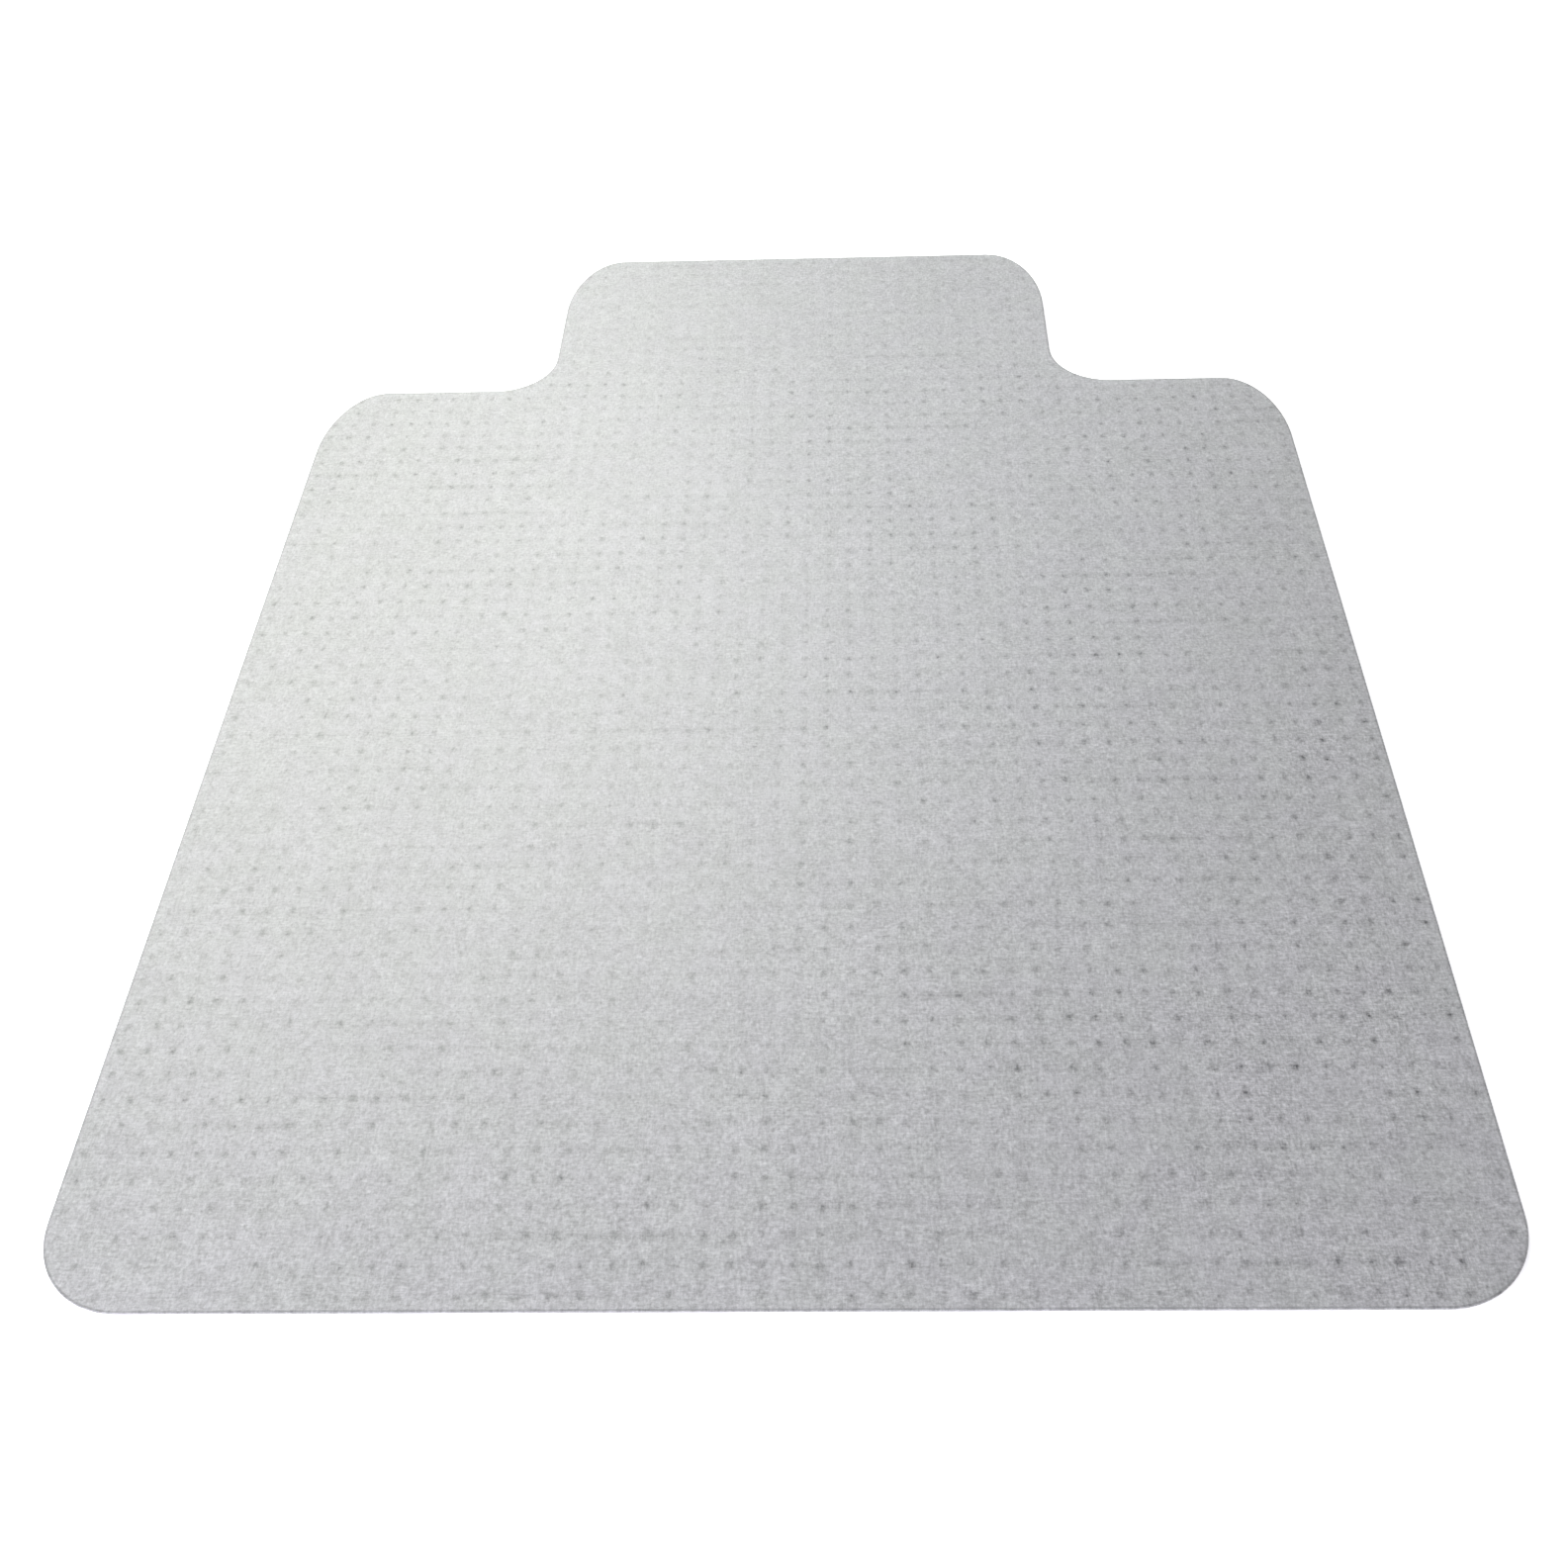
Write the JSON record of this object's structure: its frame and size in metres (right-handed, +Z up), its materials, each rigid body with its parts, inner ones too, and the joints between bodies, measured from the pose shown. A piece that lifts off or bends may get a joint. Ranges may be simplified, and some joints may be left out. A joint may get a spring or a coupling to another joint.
{
  "type": "chair mat",
  "caption": "Flat T-shaped sheet of frosted vinyl with a lip that runs under a desk and gripper studs beneath, for rolling a chair on carpet.",
  "frame": {"origin": "on the floor under the middle of the mat: the centre of the bounding box's bottom face", "axes": "+Z up from the floor, +Y along the mat towards the lip, +X to the right of a person who faces the lip"},
  "size_m": [1.168, 1.524, 0.006],
  "materials": {
    "frosted_vinyl": "frosted, translucent, fine mottled texture"
  },
  "bodies": {
    "root": {"vinyl_sheet": "frosted_vinyl", "stud_row03_col00": "frosted_vinyl", "stud_row03_col07": "frosted_vinyl", "stud_row03_col14": "frosted_vinyl", "stud_row03_col21": "frosted_vinyl", "stud_row03_col28": "frosted_vinyl", "stud_row03_col35": "frosted_vinyl", "stud_row03_col42": "frosted_vinyl", "stud_row03_col49": "frosted_vinyl", "stud_row11_col00": "frosted_vinyl", "stud_row11_col07": "frosted_vinyl", "stud_row11_col14": "frosted_vinyl", "stud_row11_col21": "frosted_vinyl", "stud_row11_col28": "frosted_vinyl", "stud_row11_col35": "frosted_vinyl", "stud_row11_col42": "frosted_vinyl", "stud_row11_col49": "frosted_vinyl", "stud_row19_col00": "frosted_vinyl", "stud_row19_col07": "frosted_vinyl", "stud_row19_col14": "frosted_vinyl", "stud_row19_col21": "frosted_vinyl", "stud_row19_col28": "frosted_vinyl", "stud_row19_col35": "frosted_vinyl", "stud_row19_col42": "frosted_vinyl", "stud_row19_col49": "frosted_vinyl", "stud_row27_col00": "frosted_vinyl", "stud_row27_col07": "frosted_vinyl", "stud_row27_col14": "frosted_vinyl", "stud_row27_col21": "frosted_vinyl", "stud_row27_col28": "frosted_vinyl", "stud_row27_col35": "frosted_vinyl", "stud_row27_col42": "frosted_vinyl", "stud_row27_col49": "frosted_vinyl", "stud_row35_col00": "frosted_vinyl", "stud_row35_col07": "frosted_vinyl", "stud_row35_col14": "frosted_vinyl", "stud_row35_col21": "frosted_vinyl", "stud_row35_col28": "frosted_vinyl", "stud_row35_col35": "frosted_vinyl", "stud_row35_col42": "frosted_vinyl", "stud_row35_col49": "frosted_vinyl", "stud_row43_col00": "frosted_vinyl", "stud_row43_col07": "frosted_vinyl", "stud_row43_col14": "frosted_vinyl", "stud_row43_col21": "frosted_vinyl", "stud_row43_col28": "frosted_vinyl", "stud_row43_col35": "frosted_vinyl", "stud_row43_col42": "frosted_vinyl", "stud_row43_col49": "frosted_vinyl", "stud_row51_col14": "frosted_vinyl", "stud_row51_col21": "frosted_vinyl", "stud_row51_col28": "frosted_vinyl", "stud_row51_col35": "frosted_vinyl", "stud_row59_col14": "frosted_vinyl", "stud_row59_col21": "frosted_vinyl", "stud_row59_col28": "frosted_vinyl", "stud_row59_col35": "frosted_vinyl"}
  },
  "joints": []
}
